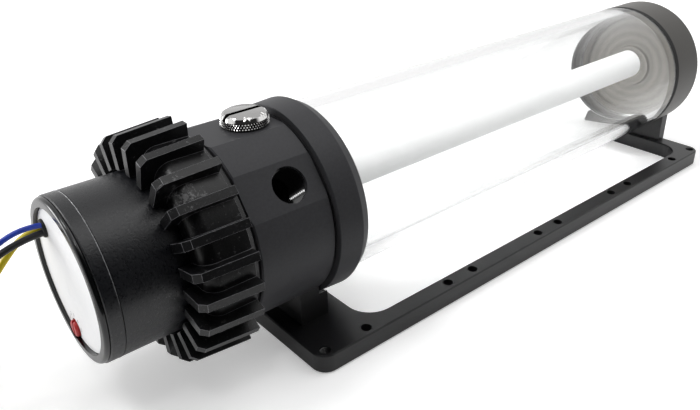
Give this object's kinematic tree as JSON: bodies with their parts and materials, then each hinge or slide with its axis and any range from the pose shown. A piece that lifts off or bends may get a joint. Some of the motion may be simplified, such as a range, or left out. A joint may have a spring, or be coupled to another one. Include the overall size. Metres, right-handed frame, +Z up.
{
  "type": "pump and tube reservoir",
  "caption": "Liquid-cooling pump with a ribbed lock ring, ported pump top and clear tube reservoir, lying on a slim bracket with fan holes.",
  "frame": {"origin": "middle of the rail's hole row, on the bracket's underside", "axes": "+X along the reservoir from the pump to the end cap, +Z up off the mounting face, -Y the rail side"},
  "size_m": [0.4164, 0.1335, 0.0915],
  "materials": {
    "black_anodised": "satin black anodised",
    "black_acetal": "satin machined",
    "filled_plastic": "fine moulded grain",
    "can_plastic": "fine spark-eroded grain",
    "clear_acrylic": "clear polished",
    "white_plastic": "translucent white",
    "black_rubber": "matt",
    "polished_nickel": "polished nickel plate",
    "black_steel": "black oxide",
    "stainless": "drawn",
    "iron_core": "stacked sheet",
    "copper_winding": "enamelled copper",
    "board_laminate": "green solder mask",
    "magnet_plastic": "bonded ferrite",
    "label_film": "matt white film",
    "red_plastic": "moulded red",
    "blue_insulation": "soft sheath",
    "yellow_insulation": "soft sheath",
    "black_insulation": "soft sheath",
    "black_nylon": "moulded"
  },
  "bodies": {
    "frame": {"bracket_plate": "black_anodised", "pump_leg": "black_anodised", "cap_leg": "black_anodised", "leg_screws": "black_steel", "pump_top": "black_acetal", "tube_collar": "black_acetal", "collar_seal": "black_rubber", "clear_tube": "clear_acrylic", "return_tube": "white_plastic", "cap_gasket": "black_rubber", "end_cap": "black_acetal", "motor_can": "can_plastic", "motor_seal": "black_rubber", "isolation_cup": "stainless", "bearing_post": "stainless", "stator_core": "iron_core", "stator_coils": "copper_winding", "circuit_board": "board_laminate", "rear_cover": "can_plastic", "rear_label": "label_film", "wire_grommet": "black_rubber", "black_wire": "black_insulation", "yellow_wire": "yellow_insulation", "blue_wire": "blue_insulation", "wire_coil": "black_insulation", "coil_tie": "black_nylon", "power_connector": "black_nylon", "tacho_connector": "black_nylon"},
    "lock_ring": {"lock_ring": "filled_plastic"},
    "rotor": {"rotor": "magnet_plastic"},
    "speed_dial": {"speed_dial": "red_plastic"},
    "stop_plug": {"stop_plug": "polished_nickel"},
    "plug_seal": {"plug_seal": "black_rubber"},
    "fill_plug": {"fill_plug": "polished_nickel"},
    "fill_seal": {"fill_seal": "black_rubber"}
  },
  "joints": [
    {"name": "rotor_spin", "type": "hinge", "parent": "frame", "child": "rotor", "pos_m": [-0.166, 0.0415, 0.049], "axis": [1, 0, 0], "continuous": true},
    {"name": "lock_ring_turn", "type": "hinge", "parent": "frame", "child": "lock_ring", "pos_m": [-0.167, 0.0415, 0.049], "axis": [-1, 0, 0], "range_deg": [0, 540]},
    {"name": "speed_dial_turn", "type": "hinge", "parent": "frame", "child": "speed_dial", "pos_m": [-0.2, 0.0475, 0.0268], "axis": [-1, 0, 0], "range_deg": [-120, 120]},
    {"name": "stop_plug_lift", "type": "slide", "parent": "frame", "child": "plug_seal", "axis": [0, 0, 1], "range_m": [0, 0.00736]},
    {"name": "stop_plug_turn", "type": "hinge", "parent": "plug_seal", "child": "stop_plug", "pos_m": [-0.1317, 0.0415, 0.0838], "axis": [0, 0, 1], "range_deg": [0, 1980]},
    {"name": "fill_plug_lift", "type": "slide", "parent": "frame", "child": "fill_seal", "axis": [1, 0, 0], "range_m": [0, 0.00736]},
    {"name": "fill_plug_turn", "type": "hinge", "parent": "fill_seal", "child": "fill_plug", "pos_m": [0.13675, 0.0415, 0.049], "axis": [1, 0, 0], "range_deg": [0, 1980]}
  ],
  "couplings": [
    {"joint": "stop_plug_lift", "follows": "stop_plug_turn", "m_per_rad": 0.00021279},
    {"joint": "fill_plug_lift", "follows": "fill_plug_turn", "m_per_rad": 0.00021279}
  ]
}
